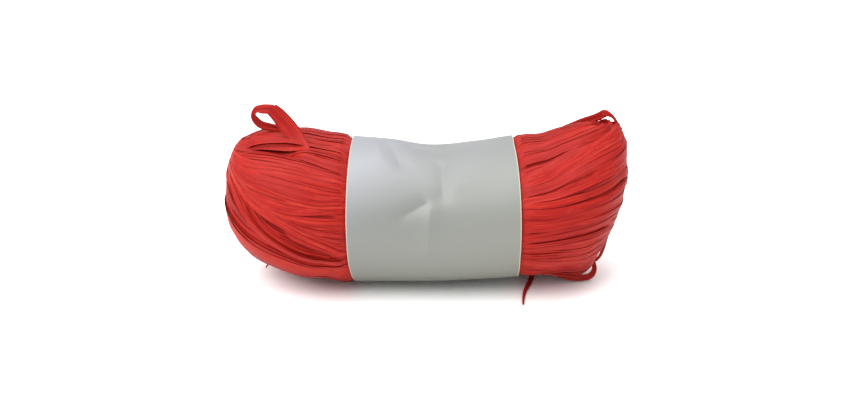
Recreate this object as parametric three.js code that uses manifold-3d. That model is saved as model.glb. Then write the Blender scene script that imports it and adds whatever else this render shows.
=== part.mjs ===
import * as THREE from 'three';
import { mergeVertices } from 'three/addons/utils/BufferGeometryUtils.js';
import Module from 'manifold-3d';

// A hank of raffia ribbon lying on its long side, drawn in at the waist by a paper band.
// Millimetres. X runs along the hank, Y from the front (-Y) to the back, Z up from the surface.

const wasm = await Module();
wasm.setup();

const DEG = Math.PI / 180;

// Driving dimensions
const BAND_LEFT = -37;
const BAND_RIGHT = 42.6;
const PAPER = 1;
const PIECE_GAP = 0.3;
const HALF_DEPTH = 43;
const STRIP_THICK = 1.4;
const LOOSE_END_WIDTH = 2.6;
const LOOSE_END_THICK = 1.2;

// How far along X all pieces move at the end, so that the origin lies under the middle of the hank.
const TO_MIDDLE = 1.2;

// Dyed raffia is red with a faint gloss, and the coated paper a pale silver grey.
const RAFFIA_RED = 0xcd322d;
const RAFFIA_ROUGHNESS = 0.5;
const PAPER_GREY = 0xbcbfbd;
const PAPER_ROUGHNESS = 0.45;

// Steps of the surface grids. The grids stop just short of the folds, which are capped.
const AROUND_STEPS = 72;
const BAND_STEPS = 12;
const SHOULDER_STEPS = 4;
const NOSE_STEPS = 13;
const NOSE_STOP = 0.965;
const STRIP_STEPS = 26;
const LOOSE_END_STEPS = 14;
const LOOSE_END_SIDES = 8;

// Travel counts along the hank: 0 at the waist in front, then the shoulder, 1 on the end's fold and
// 2 at the waist behind. This is its value at the shoulder.
const SHOULDER_TRAVEL = 0.5;

// The small steps over which the slopes of the form and of its locks are taken.
const SLOPE_STEP = 0.004;
const LOCK_SLOPE_STEP = 0.02;

// How far beside the band the raffia is still held, swells back to its form, and its locks to their
// height.
const HELD_BESIDE = 1;
const SWELL = 3;
const LOCK_SWELL = 9;

// How far the hank has settled onto the surface, which flattens it where it rests.
const SETTLED = 0.4;

// The travel from a fold to the band's edge, over which the locks spread.
const LOCK_REACH = 0.62;

// The steepest slant to the hank's length at which a lock keeps its width.
const STEEPEST_LOCK = 2.5;

// Below 1 this makes the ends blunter, seen from above.
const BLUNTNESS = 0.8;

// The wound form, a row for each section: x along the hank, height of the section's middle,
// half its height, and how far it sits to the back.
const SECTIONS = [
  { x: -90, middle: 42.6, tall: 30.0, back: 0 },
  { x: -82, middle: 41.7, tall: 32.3, back: 0 },
  { x: -72, middle: 40.3, tall: 34.0, back: 0 },
  { x: -60, middle: 38.0, tall: 34.8, back: 0 },
  { x: -48, middle: 36.3, tall: 34.0, back: 0 },
  { x: -38, middle: 34.9, tall: 35.2, back: 0 },
  { x: -18, middle: 34.0, tall: 34.5, back: 0 },
  { x: 4, middle: 32.8, tall: 33.0, back: 0 },
  { x: 26, middle: 34.2, tall: 33.4, back: 0 },
  { x: 44, middle: 36.2, tall: 34.2, back: 0 },
  { x: 56, middle: 37.3, tall: 33.0, back: 0 },
  { x: 66, middle: 38.4, tall: 35.8, back: 0 },
  { x: 76, middle: 39.6, tall: 39.4, back: -1 },
  { x: 87, middle: 42.4, tall: 42.0, back: -2 },
];

// The two ends: where the form starts to close, how much further it reaches, and the outline of
// the fold there: its least reach, its bow and how peaked that is, how far its top leans out and
// how much fuller its upper half is than its lower one.
const ENDS = {
  left: { side: -1, shoulder: 50, reach: 40, least: -5.7, bow: 13.5, peaked: 1, lean: 0, fuller: 1 },
  right: { side: 1, shoulder: 52, reach: 35, least: -5, bow: 12.5, peaked: 1.5, lean: 2.5, fuller: 4 },
};

// The main locks of ribbon, a row for each. Angles are in degrees from the top: at the band in
// front, on the end's fold, and at the band behind. Turn above 1 keeps a lock low until it is
// close to the end. Half width and height are in mm, and a negative height is a deep gap. At the
// left the locks run level and then sweep up to the corner, over the broad ones that curve round it.
const LOCKS = {
  left: [
    { front: 10, end: 17, back: 12, turn: 1, half: 7, height: 1.3 },
    { front: 24, end: 24, back: 27, turn: 1, half: 6, height: 1.9 },
    { front: 37, end: 33, back: 40, turn: 1, half: 6, height: 1.2 },
    { front: 50, end: 37, back: 54, turn: 4, half: 6.5, height: 1.5 },
    { front: 63, end: 39.5, back: 68, turn: 4, half: 6, height: 1.2 },
    { front: 76, end: 43, back: 82, turn: 3, half: 6, height: 1.5 },
    { front: 89, end: 45, back: 96, turn: 2.2, half: 6, height: 1.2 },
    { front: 103, end: 46.5, back: 104, turn: 1.4, half: 5, height: -2.2 },
    { front: 111, end: 49, back: 116, turn: 2.3, half: 5, height: 1.9 },
    { front: 125, end: 82, back: 132, turn: 3.2, half: 8.5, height: 2.4 },
    { front: 142, end: 104, back: 147, turn: 3, half: 7.5, height: 1.5 },
    { front: 160, end: 134, back: 163, turn: 2.6, half: 9, height: 1.5 },
    { front: 177, end: 166, back: 178, turn: 2, half: 8, height: 1.4 },
  ],
  right: [
    { front: 8, end: 8, back: 8, turn: 1, half: 7.5, height: 1.4 },
    { front: 27, end: 19, back: 28, turn: 0.8, half: 6.5, height: 1.3 },
    { front: 46, end: 30, back: 46, turn: 0.7, half: 6.5, height: 1.7 },
    { front: 60, end: 49, back: 64, turn: 0.8, half: 6, height: 1.4 },
    { front: 72.5, end: 73, back: 80, turn: 1, half: 5.5, height: 1.2 },
    { front: 85, end: 86, back: 97, turn: 1, half: 6, height: 1.5 },
    { front: 99, end: 101, back: 113, turn: 1, half: 6.5, height: 1.3 },
    { front: 114, end: 117, back: 128, turn: 1, half: 7, height: 1.5 },
    { front: 134, end: 137, back: 145, turn: 1, half: 7.5, height: 1.3 },
    { front: 154, end: 155, back: 160, turn: 1, half: 7.5, height: 1.6 },
    { front: 174, end: 173, back: 175, turn: 1, half: 7.5, height: 1.4 },
  ],
};

// The band's soft creases, a row for each: from one place to another, with x in mm and the angle
// in degrees from the top toward the front, half width and height in mm. A dent has a negative height.
const CREASES = [
  { x: -2, angle: -10, toX: 6, toAngle: -6, half: 9, height: -1.5 },
  { x: -20, angle: 0, toX: -12, toAngle: 28, half: 5, height: -0.8 },
  { x: 7, angle: 26, toX: 7, toAngle: 54, half: 4, height: -0.9 },
  { x: -12, angle: 72, toX: -2, toAngle: 60, half: 4, height: -0.8 },
  { x: 2, angle: 64, toX: 1, toAngle: 98, half: 4.5, height: 0.8 },
];

// Deep gaps between the locks, told in the same way: under the bundle that overhangs at the top
// left, beside the right peak, the long one at the right, and the openings under the folds of
// ribbon that stand clear at the right, at the peak and where the hank rests.
const GAPS = [
  { x: -85, angle: 25, toX: -64, toAngle: 27, half: 4, height: -3.5 },
  { x: 77, angle: 27, toX: 88, toAngle: 27, half: 3.5, height: -1.5 },
  { x: 74, angle: 68, toX: 90, toAngle: 67, half: 3, height: -1.6 },
  { x: 84, angle: -15, toX: 92, toAngle: -13, half: 9, height: -5 },
  { x: 79, angle: 160, toX: 88, toAngle: 160, half: 7, height: -1.6 },
];

// The radius by which an angle on the creases' tables counts as a length.
const ARC_RADIUS = 38;

// The folds of ribbon that spring clear of the form, a row for each point of the route: the big
// loop at the left of the top as its arm and its broad leg, the two sides of the right peak and the
// fold low on the right.
const LOOPS = [
  [
    { x: -59.1, y: 1, z: 69.5, wide: 2.4 },
    { x: -67, y: 0, z: 73.6, wide: 3.4 },
    { x: -74.5, y: -1, z: 75.7, wide: 3.9 },
    { x: -79.8, y: -2, z: 77.5, wide: 3.9 },
    { x: -82.5, y: -3, z: 80.6, wide: 3.4 },
    { x: -82.9, y: -4, z: 83.5, wide: 2.4 },
    { x: -81.1, y: -5, z: 85.8, wide: 3.3 },
    { x: -78.3, y: -5.8, z: 86.2, wide: 4.5 },
    { x: -75.4, y: -6.2, z: 86.3, wide: 4.7 },
    { x: -72.5, y: -6.4, z: 86.2, wide: 4.5 },
  ],
  [
    { x: -73.6, y: -7, z: 86.5, wide: 6.2 },
    { x: -70.2, y: -7.4, z: 83.2, wide: 7.3 },
    { x: -66.5, y: -8.5, z: 78.8, wide: 8.1 },
    { x: -62.3, y: -11, z: 73.9, wide: 8.1 },
    { x: -58.7, y: -15, z: 69.9, wide: 6.6 },
    { x: -55.5, y: -19, z: 67.7, wide: 4 },
    { x: -52.2, y: -22, z: 65.2, wide: 2.8 },
    { x: -48.6, y: -25.5, z: 62.6, wide: 1.9 },
  ],
  [
    { x: 64.4, y: 12, z: 70.3, wide: 2.5 },
    { x: 70.3, y: 9, z: 73.4, wide: 3.5 },
    { x: 76.4, y: 5, z: 77.1, wide: 3.9 },
    { x: 81.3, y: 1, z: 80.1, wide: 3.9 },
    { x: 85.8, y: -2, z: 83.4, wide: 3.8 },
  ],
  [
    { x: 83.8, y: -2.6, z: 83.8, wide: 2.9 },
    { x: 85.9, y: -3, z: 83.5, wide: 2.9 },
    { x: 88.1, y: -3.4, z: 82.4, wide: 1.9 },
    { x: 89.7, y: -3.7, z: 81, wide: 1.4 },
    { x: 91, y: -4, z: 78.6, wide: 1.7 },
    { x: 92.1, y: -4, z: 74.9, wide: 2.4 },
    { x: 92, y: -4, z: 69.9, wide: 2.4 },
  ],
  [
    { x: 64.1, y: -14, z: 4.5, wide: 2.5 },
    { x: 70.1, y: -14.5, z: 3, wide: 3.5 },
    { x: 75.6, y: -14.5, z: 2.3, wide: 3.2 },
    { x: 79.9, y: -14, z: 2.6, wide: 3.2 },
    { x: 82.6, y: -12.5, z: 3.8, wide: 3 },
    { x: 83.6, y: -11, z: 6.4, wide: 2.5 },
    { x: 82.5, y: -9, z: 10.5, wide: 2.2 },
  ],
];
const STRIP_FACING = new THREE.Vector3(0, -0.94, 0.34);
const STRIP_CORNERS = [[1, 1], [-1, 1], [-1, -1], [1, -1]];

// The loose end's route, from under the hank out over the surface in front. Its flat side lies on
// the surface, so z is half its thickness there.
const LOOSE_END = [
  { x: 53.0, y: -5, z: 1.4 },
  { x: 52.6, y: -8, z: 1.2 },
  { x: 51.8, y: -12, z: 0.8 },
  { x: 50.3, y: -17, z: 0.62 },
  { x: 48.8, y: -22, z: 0.62 },
  { x: 47.4, y: -27, z: 0.62 },
  { x: 46.4, y: -32, z: 0.62 },
  { x: 45.7, y: -36.5, z: 0.62 },
  { x: 45.2, y: -41, z: 0.62 },
];

// A smooth curve through one column of the section table.
function sectionValue(x, column) {
  const last = SECTIONS.length - 1;
  let row = 0;
  while (row < last - 1 && x > SECTIONS[row + 1].x) {
    row += 1;
  }
  const slope = (i) => {
    const before = SECTIONS[Math.max(i - 1, 0)];
    const after = SECTIONS[Math.min(i + 1, last)];
    return (after[column] - before[column]) / (after.x - before.x);
  };
  const start = SECTIONS[row];
  const stop = SECTIONS[row + 1];
  const span = stop.x - start.x;
  const t = THREE.MathUtils.clamp((x - start.x) / span, 0, 1);
  const hermite = [
    2 * t ** 3 - 3 * t ** 2 + 1,
    t ** 3 - 2 * t ** 2 + t,
    -2 * t ** 3 + 3 * t ** 2,
    t ** 3 - t ** 2,
  ];
  return (
    hermite[0] * start[column] +
    hermite[1] * span * slope(row) +
    hermite[2] * stop[column] +
    hermite[3] * span * slope(row + 1)
  );
}

// A point of the smooth wound form. The angle runs from the top to the bottom.
function formPoint(end, travel, angle) {
  const turn = THREE.MathUtils.clamp(travel - SHOULDER_TRAVEL, 0, 1) * Math.PI;
  const outward = Math.min(travel, 2 - travel, SHOULDER_TRAVEL) / SHOULDER_TRAVEL;
  const closing = Math.sin(turn);
  const x = end.side * (end.shoulder * outward + end.reach * closing);
  const tall = sectionValue(x, 'tall');
  const bow =
    end.least +
    end.bow * Math.abs(Math.sin(angle)) ** end.peaked +
    end.lean * Math.cos(angle) +
    end.fuller * Math.sin(2 * angle);
  const depth = Math.sign(Math.cos(turn)) * Math.abs(Math.cos(turn)) ** BLUNTNESS * HALF_DEPTH;
  return new THREE.Vector3(
    x + end.side * bow * closing ** 2,
    sectionValue(x, 'back') - depth * Math.sin(angle),
    sectionValue(x, 'middle') - SETTLED + tall * Math.cos(angle),
  );
}

// The outward direction of the form at a point.
function formNormal(end, travel, angle) {
  const step = SLOPE_STEP;
  const along = formPoint(end, travel + step, angle).sub(formPoint(end, travel - step, angle));
  const down = formPoint(end, travel, angle + step).sub(formPoint(end, travel, angle - step));
  return along.cross(down).multiplyScalar(-end.side).normalize();
}

// The angle at which a lock lies at one travel.
function lockAngle(lock, travel) {
  const closing = 1 - THREE.MathUtils.clamp(Math.abs(travel - 1) / LOCK_REACH, 0, 1);
  const from = travel < 1 ? lock.front : lock.back;
  return (from + (lock.end - from) * closing ** lock.turn) * DEG;
}

// How far the locks stand out of the form, or a gap goes into it.
function lockRelief(end, locks, travel, angle) {
  const tall = sectionValue(end.side * end.shoulder, 'tall');
  let raised = 0;
  let sunk = 0;
  for (const lock of locks) {
    const centre = lockAngle(lock, travel);
    const here = formPoint(end, travel, centre);
    const along = formPoint(end, travel + LOCK_SLOPE_STEP, centre).distanceTo(here);
    const drift = Math.abs(lockAngle(lock, travel + LOCK_SLOPE_STEP) - centre) * tall;
    const slant = Math.hypot(1, Math.min(drift / along, STEEPEST_LOCK));
    const away = Math.abs(angle - centre) * tall / (lock.half * slant);
    if (away < 1) {
      const swell = (1 - away ** 2) * lock.height;
      raised = Math.max(raised, swell);
      sunk = Math.min(sunk, swell);
    }
  }
  return raised + sunk;
}

function smooth(from, to, value) {
  return THREE.MathUtils.smoothstep(value, from, to);
}

// 1 where the paper holds the raffia, fading to 0 at a distance beside the band.
function underPaper(x, fade) {
  const fromLeft = smooth(BAND_LEFT - fade, BAND_LEFT - HELD_BESIDE, x);
  return fromLeft * (1 - smooth(BAND_RIGHT + HELD_BESIDE, BAND_RIGHT + fade, x));
}

// The body's surface: the form with its locks, drawn in under the band and flat where it rests.
function bodyPoint(end, locks, travel, angle) {
  const point = formPoint(end, travel, angle);
  const facing = signedAngle(travel, angle);
  const held = underPaper(point.x, SWELL);
  const drawnIn = creaseRelief(CREASES, point.x, facing) - PAPER - PIECE_GAP;
  const locked = lockRelief(end, locks, travel, angle) + creaseRelief(GAPS, point.x, facing);
  const lift = locked * (1 - underPaper(point.x, LOCK_SWELL)) + drawnIn * held;
  point.addScaledVector(formNormal(end, travel, angle), lift);
  point.z = Math.max(point.z, (PAPER + PIECE_GAP) * held);
  return point;
}

// The stations across the band, as an end and a travel.
function bandStations() {
  const list = [];
  for (let i = 0; i <= BAND_STEPS; i += 1) {
    const x = THREE.MathUtils.lerp(BAND_LEFT, BAND_RIGHT, i / BAND_STEPS);
    const end = x < 0 ? 'left' : 'right';
    list.push({ end, travel: Math.abs(x) / ENDS[end].shoulder * SHOULDER_TRAVEL });
  }
  return list;
}

// The stations from the left fold to the right one.
function stations() {
  const across = bandStations();
  const shoulder = (name, bandTravel) => {
    const list = [];
    for (let i = 1; i <= SHOULDER_STEPS; i += 1) {
      list.push({ end: name, travel: THREE.MathUtils.lerp(bandTravel, SHOULDER_TRAVEL, i / SHOULDER_STEPS) });
    }
    return list;
  };
  const nose = (name) => {
    const list = [];
    for (let i = 1; i <= NOSE_STEPS; i += 1) {
      const share = NOSE_STOP * i / NOSE_STEPS;
      list.push({ end: name, travel: THREE.MathUtils.lerp(SHOULDER_TRAVEL, 1, share) });
    }
    return list;
  };
  return [
    ...nose('left').reverse(),
    ...shoulder('left', across.at(0).travel).reverse(),
    ...across,
    ...shoulder('right', across.at(-1).travel),
    ...nose('right'),
  ];
}

// A ring of points round the hank at one station: down the front, up the back.
function ring(station, pointAt) {
  const end = ENDS[station.end];
  const points = [];
  for (let i = 0; i < AROUND_STEPS; i += 1) {
    const angle = 2 * Math.PI * i / AROUND_STEPS;
    const inFront = angle <= Math.PI;
    const travel = inFront ? station.travel : 2 - station.travel;
    points.push(pointAt(end, travel, inFront ? angle : 2 * Math.PI - angle, station.end));
  }
  return points;
}

function geometryOf(points, triangles) {
  const geometry = new THREE.BufferGeometry().setFromPoints(points);
  geometry.setIndex(triangles.flat());
  geometry.computeVertexNormals();
  return geometry;
}

// The skin between rings that follow each other from left to right.
function skin(ringCount, first, outward = true) {
  const triangles = [];
  for (let r = 0; r < ringCount - 1; r += 1) {
    for (let i = 0; i < AROUND_STEPS; i += 1) {
      const next = (i + 1) % AROUND_STEPS;
      const a = first + r * AROUND_STEPS + i;
      const b = first + r * AROUND_STEPS + next;
      const c = a + AROUND_STEPS;
      const d = b + AROUND_STEPS;
      triangles.push(outward ? [a, b, d] : [a, d, b]);
      triangles.push(outward ? [a, d, c] : [a, c, d]);
    }
  }
  return triangles;
}

// A fold's cap: a zip of faces between the front and the back half of a ring.
function foldCap(first, facingRight) {
  const triangles = [];
  const push = (a, b, c) => triangles.push(facingRight ? [a, b, c] : [a, c, b]);
  for (let i = 0; i < AROUND_STEPS / 2; i += 1) {
    const front = first + i;
    const back = first + (AROUND_STEPS - i) % AROUND_STEPS;
    const backNext = first + AROUND_STEPS - i - 1;
    if (i > 0) {
      push(front, front + 1, back);
    }
    if (front + 1 !== backNext) {
      push(front + 1, backNext, back);
    }
  }
  return triangles;
}

function hankForm() {
  const places = stations();
  const pointAt = (end, travel, angle, name) => bodyPoint(end, LOCKS[name], travel, angle);
  const points = places.flatMap((station) => ring(station, pointAt));
  const lastRing = (places.length - 1) * AROUND_STEPS;
  return geometryOf(points, [
    ...skin(places.length, 0),
    ...foldCap(0, false),
    ...foldCap(lastRing, true),
  ]);
}

// How far creases lift or sink one place of the surface.
function creaseRelief(creases, x, angle) {
  let relief = 0;
  for (const crease of creases) {
    const alongX = crease.toX - crease.x;
    const alongArc = (crease.toAngle - crease.angle) * DEG * ARC_RADIUS;
    const awayX = x - crease.x;
    const awayArc = (angle - crease.angle * DEG) * ARC_RADIUS;
    const length = Math.hypot(alongX, alongArc);
    const t = THREE.MathUtils.clamp((awayX * alongX + awayArc * alongArc) / length ** 2, 0, 1);
    const away = Math.hypot(awayX - t * alongX, awayArc - t * alongArc) / crease.half;
    relief += crease.height * Math.exp(-(away ** 2));
  }
  return relief;
}

// A signed angle from the top: positive down the front, negative down the back.
function signedAngle(travel, angle) {
  return travel < 1 ? angle : -angle;
}

// A point of the paper's outer or inner face.
function paperPoint(end, travel, angle, depth) {
  const point = formPoint(end, travel, angle);
  const lift = creaseRelief(CREASES, point.x, signedAngle(travel, angle)) - depth;
  point.addScaledVector(formNormal(end, travel, angle), lift);
  point.z = Math.max(point.z, depth);
  return point;
}

// The band: a closed ring of paper, its outer and inner skins joined at the two cut edges.
function bandForm() {
  const places = bandStations();
  const skinPoints = (depth) => {
    const pointAt = (end, travel, angle) => paperPoint(end, travel, angle, depth);
    return places.flatMap((station) => ring(station, pointAt));
  };
  const points = [...skinPoints(0), ...skinPoints(PAPER)];
  const inner = places.length * AROUND_STEPS;
  const triangles = [...skin(places.length, 0), ...skin(places.length, inner, false)];
  for (let i = 0; i < AROUND_STEPS; i += 1) {
    const next = (i + 1) % AROUND_STEPS;
    const last = inner - AROUND_STEPS;
    triangles.push([i, inner + next, next], [i, inner + i, inner + next]);
    triangles.push([last + i, last + next, inner + last + next]);
    triangles.push([last + i, inner + last + next, inner + last + i]);
  }
  return geometryOf(points, triangles);
}

function curveThrough(route) {
  return new THREE.CatmullRomCurve3(route.map((row) => new THREE.Vector3(row.x, row.y, row.z)));
}

// A flat strip of ribbon along a route, its broad face toward the front and a little up.
function stripForm(route) {
  const curve = curveThrough(route);
  const points = [];
  const triangles = [];
  for (let i = 0; i <= STRIP_STEPS; i += 1) {
    const t = i / STRIP_STEPS;
    const place = t * (route.length - 1);
    const row = Math.min(Math.floor(place), route.length - 2);
    const wide = THREE.MathUtils.lerp(route[row].wide, route[row + 1].wide, place - row);
    const centre = curve.getPoint(t);
    const across = curve.getTangent(t).cross(STRIP_FACING).normalize().multiplyScalar(wide / 2);
    const through = across.clone().cross(curve.getTangent(t)).normalize().multiplyScalar(STRIP_THICK / 2);
    for (const [a, b] of STRIP_CORNERS) {
      points.push(centre.clone().addScaledVector(across, a).addScaledVector(through, b));
    }
  }
  const corners = STRIP_CORNERS.length;
  for (let i = 0; i < STRIP_STEPS; i += 1) {
    for (let k = 0; k < corners; k += 1) {
      const a = corners * i + k;
      const b = corners * i + (k + 1) % corners;
      triangles.push([a, b + corners, b], [a, a + corners, b + corners]);
    }
  }
  const last = corners * STRIP_STEPS;
  triangles.push([0, 1, 2], [0, 2, 3], [last, last + 2, last + 1], [last, last + 3, last + 2]);
  return geometryOf(points, triangles);
}

// A closed geometry as a solid that can be joined.
function solidOf(geometry) {
  const bare = new THREE.BufferGeometry();
  bare.setAttribute('position', geometry.getAttribute('position'));
  bare.setIndex(geometry.getIndex());
  const merged = mergeVertices(bare);
  const mesh = new wasm.Mesh({
    numProp: 3,
    vertProperties: new Float32Array(merged.getAttribute('position').array),
    triVerts: new Uint32Array(merged.getIndex().array),
  });
  return new wasm.Manifold(mesh);
}

function joined(geometries) {
  const solid = geometries.map(solidOf).reduce((whole, piece) => whole.add(piece));
  const mesh = solid.getMesh();
  const geometry = new THREE.BufferGeometry();
  geometry.setAttribute('position', new THREE.BufferAttribute(mesh.vertProperties, 3));
  geometry.setIndex(new THREE.BufferAttribute(mesh.triVerts, 1));
  geometry.computeVertexNormals();
  return geometry;
}

// The loose end: a flat ribbon of few sides along its route on the surface. Its size is measured
// across its flat faces, and the corners lie a little further out.
function looseEndForm() {
  const section = new THREE.Shape();
  const toCorner = 1 / Math.cos(Math.PI / LOOSE_END_SIDES);
  for (let i = 0; i < LOOSE_END_SIDES; i += 1) {
    const angle = (i + 0.5) * 2 * Math.PI / LOOSE_END_SIDES;
    const thick = LOOSE_END_THICK / 2 * toCorner * Math.cos(angle);
    const wide = LOOSE_END_WIDTH / 2 * toCorner * Math.sin(angle);
    if (i === 0) {
      section.moveTo(thick, wide);
    } else {
      section.lineTo(thick, wide);
    }
  }
  section.closePath();
  const options = { steps: LOOSE_END_STEPS, extrudePath: curveThrough(LOOSE_END) };
  return new THREE.ExtrudeGeometry(section, options);
}

function material(color, roughness) {
  return new THREE.MeshStandardMaterial({ color, roughness, metalness: 0 });
}

function named(name, geometry, look) {
  const mesh = new THREE.Mesh(geometry.translate(TO_MIDDLE, 0, 0), look);
  mesh.name = name;
  return mesh;
}

const raffia = material(RAFFIA_RED, RAFFIA_ROUGHNESS);
const paper = material(PAPER_GREY, PAPER_ROUGHNESS);

const hank = new THREE.Group();
hank.add(
  named('hank_body', joined([hankForm(), ...LOOPS.map(stripForm)]), raffia),
  named('paper_band', bandForm(), paper),
  named('loose_end', looseEndForm(), raffia),
);

export default hank;
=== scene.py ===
import math

import bpy
import numpy as np
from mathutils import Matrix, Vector


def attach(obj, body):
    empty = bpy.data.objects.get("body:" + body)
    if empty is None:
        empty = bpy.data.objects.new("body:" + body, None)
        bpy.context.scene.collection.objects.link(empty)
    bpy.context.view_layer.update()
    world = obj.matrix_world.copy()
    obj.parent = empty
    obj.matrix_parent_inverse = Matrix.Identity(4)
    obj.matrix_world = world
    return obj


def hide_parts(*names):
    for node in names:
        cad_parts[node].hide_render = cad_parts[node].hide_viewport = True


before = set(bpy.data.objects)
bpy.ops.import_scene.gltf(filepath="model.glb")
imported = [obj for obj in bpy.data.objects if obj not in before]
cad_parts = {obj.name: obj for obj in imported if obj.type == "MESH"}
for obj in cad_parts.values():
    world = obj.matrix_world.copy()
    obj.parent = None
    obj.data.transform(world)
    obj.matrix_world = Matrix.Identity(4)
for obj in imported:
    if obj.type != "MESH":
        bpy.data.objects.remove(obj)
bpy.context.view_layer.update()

bl_info = {
    "name": "Hank of raffia ribbon",
    "version": (1, 0, 0),
    "blender": (4, 5, 0),
    "location": "3D View > Sidebar > Hank",
    "description": "Dresses the solids of a raffia hank with ribbons, a paper band and a loose end",
    "category": "Object",
}

# Lengths below are in millimetres and angles in degrees. Everything is made into metres at the end.
MM = 0.001
DEG = math.pi / 180

# How far along X all pieces move at the end, so that the origin lies under the middle of the hank
TO_MIDDLE = np.array([1.2, 0.0, 0.0])


def to_metres(points):
    """Points of the form in mm, as they lie in the shared frame in metres."""
    return (points + TO_MIDDLE) * MM


# The hank's form, repeated from the part's source

BAND_LEFT = -37.0
BAND_RIGHT = 42.6
HALF_DEPTH = 43.0
SHOULDER_TRAVEL = 0.5
BLUNTNESS = 0.8
SETTLED = 0.4
LOCK_REACH = 0.62
STEEPEST_LOCK = 2.5
ARC_RADIUS = 38.0
HELD_BESIDE = 1.0
SWELL = 3.0
LOCK_SWELL = 9.0

# x along the hank, height of the section's middle, half its height, how far it sits to the back
SECTIONS = np.array([
    (-90, 42.6, 30.0, 0), (-82, 41.7, 32.3, 0), (-72, 40.3, 34.0, 0), (-60, 38.0, 34.8, 0),
    (-48, 36.3, 34.0, 0), (-38, 34.9, 35.2, 0), (-18, 34.0, 34.5, 0), (4, 32.8, 33.0, 0),
    (26, 34.2, 33.4, 0), (44, 36.2, 34.2, 0), (56, 37.3, 33.0, 0), (66, 38.4, 35.8, 0),
    (76, 39.6, 39.4, -1), (87, 42.4, 42.0, -2),
])
MIDDLE, TALL, BACK = 1, 2, 3

ENDS = {
    "left": dict(side=-1, shoulder=50, reach=40, least=-5.7, bow=13.5, peaked=1, lean=0, fuller=1),
    "right": dict(side=1, shoulder=52, reach=35, least=-5, bow=12.5, peaked=1.5, lean=2.5, fuller=4),
}

# The main locks: angle at the band in front, on the fold and at the band behind, how late it turns,
# half its width and its height
LOCKS = {
    "left": np.array([
        (10, 17, 12, 1, 7, 1.3), (24, 24, 27, 1, 6, 1.9), (37, 33, 40, 1, 6, 1.2),
        (50, 37, 54, 4, 6.5, 1.5), (63, 39.5, 68, 4, 6, 1.2), (76, 43, 82, 3, 6, 1.5),
        (89, 45, 96, 2.2, 6, 1.2), (103, 46.5, 104, 1.4, 5, -2.2), (111, 49, 116, 2.3, 5, 1.9),
        (125, 82, 132, 3.2, 8.5, 2.4), (142, 104, 147, 3, 7.5, 1.5), (160, 134, 163, 2.6, 9, 1.5),
        (177, 166, 178, 2, 8, 1.4),
    ]),
    "right": np.array([
        (8, 8, 8, 1, 7.5, 1.4), (27, 19, 28, 0.8, 6.5, 1.3), (46, 30, 46, 0.7, 6.5, 1.7),
        (60, 49, 64, 0.8, 6, 1.4), (72.5, 73, 80, 1, 5.5, 1.2), (85, 86, 97, 1, 6, 1.5),
        (99, 101, 113, 1, 6.5, 1.3), (114, 117, 128, 1, 7, 1.5), (134, 137, 145, 1, 7.5, 1.3),
        (154, 155, 160, 1, 7.5, 1.6), (174, 173, 175, 1, 7.5, 1.4),
    ]),
}

# The ribbons' lines over the front of each end, from the top down: a row of angles at these travels
GUIDE_TRAVEL = np.array([0.34, 0.42, 0.5, 0.6, 0.7, 0.78, 0.85, 0.92, 1.0])
GUIDES = {
    "left": np.array([
        (-13, -13, -14, -12, -8, -4, 0, 4, 8),
        (4, 3, 2, 2, 4, 6, 8, 11, 14),
        (20, 18, 16, 16, 18, 19, 20, 22, 24),
        (33, 29, 26, 27, 27.5, 26, 27, 29, 30),
        (42, 39, 35, 31, 31, 32, 33, 34, 35),
        (43.5, 43, 42.5, 43, 44, 45, 42, 38, 37),
        (56.4, 56.4, 55, 53.5, 53, 54, 49, 42, 38),
        (63, 64, 66, 65, 62.5, 61, 53, 44, 39.5),
        (69, 70.5, 72, 76, 74.5, 68.5, 58, 47, 41),
        (75.5, 76.5, 77.6, 79, 78, 71, 60, 49, 43),
        (85, 85, 86, 84.5, 80.5, 73, 62, 51, 45),
        (104, 102, 97, 88, 81, 73, 61, 51, 46.5),
        (111, 112, 112.5, 108, 97, 78, 60, 52, 48),
        (112, 112.5, 113, 109.5, 102, 92, 80, 69, 60),
        (112.5, 113, 113.5, 110, 105.5, 101, 95, 87, 76),
        (120, 123, 125.5, 121, 119.5, 115, 107.5, 99, 91),
        (134, 136, 138, 136, 133, 128, 122, 114, 105),
        (160, 160, 160, 158, 156, 152, 147, 141, 133),
        (184, 183, 182, 182, 181, 180, 178, 173, 166),
    ]),
    "right": np.array([
        (-8, -9, -14, -14, -9, 0, 2, 4, 6),
        (19, 18, 15, 13, 14, 15, 15, 14, 14),
        (36, 34, 29, 25, 26, 26, 25, 24, 23),
        (43, 41, 36, 31, 28.5, 29, 28.5, 28, 28),
        (51, 49.5, 44, 37, 32, 31, 31, 31, 32),
        (57.5, 56, 54, 50, 46, 44, 43, 42, 42),
        (63.5, 63, 61, 60, 57, 56, 57, 57, 58),
        (68, 68, 68, 69, 70, 70, 68, 67, 68),
        (77, 77, 78, 78, 77, 78, 78, 78, 79),
        (84, 84, 84, 84, 85, 86, 87, 87, 88),
        (93, 93, 92, 91, 90, 90, 90, 91, 94),
        (102, 101.5, 100, 99.5, 99, 99, 101, 103, 106),
        (111, 112, 113, 114.5, 114, 112, 111, 113, 116),
        (128, 131, 138, 145, 149, 148, 147, 146, 146),
        (156, 157, 160, 163, 166, 166, 166, 165, 164),
        (184, 184, 184, 184, 184, 184, 184, 182, 180),
    ]),
}

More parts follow.
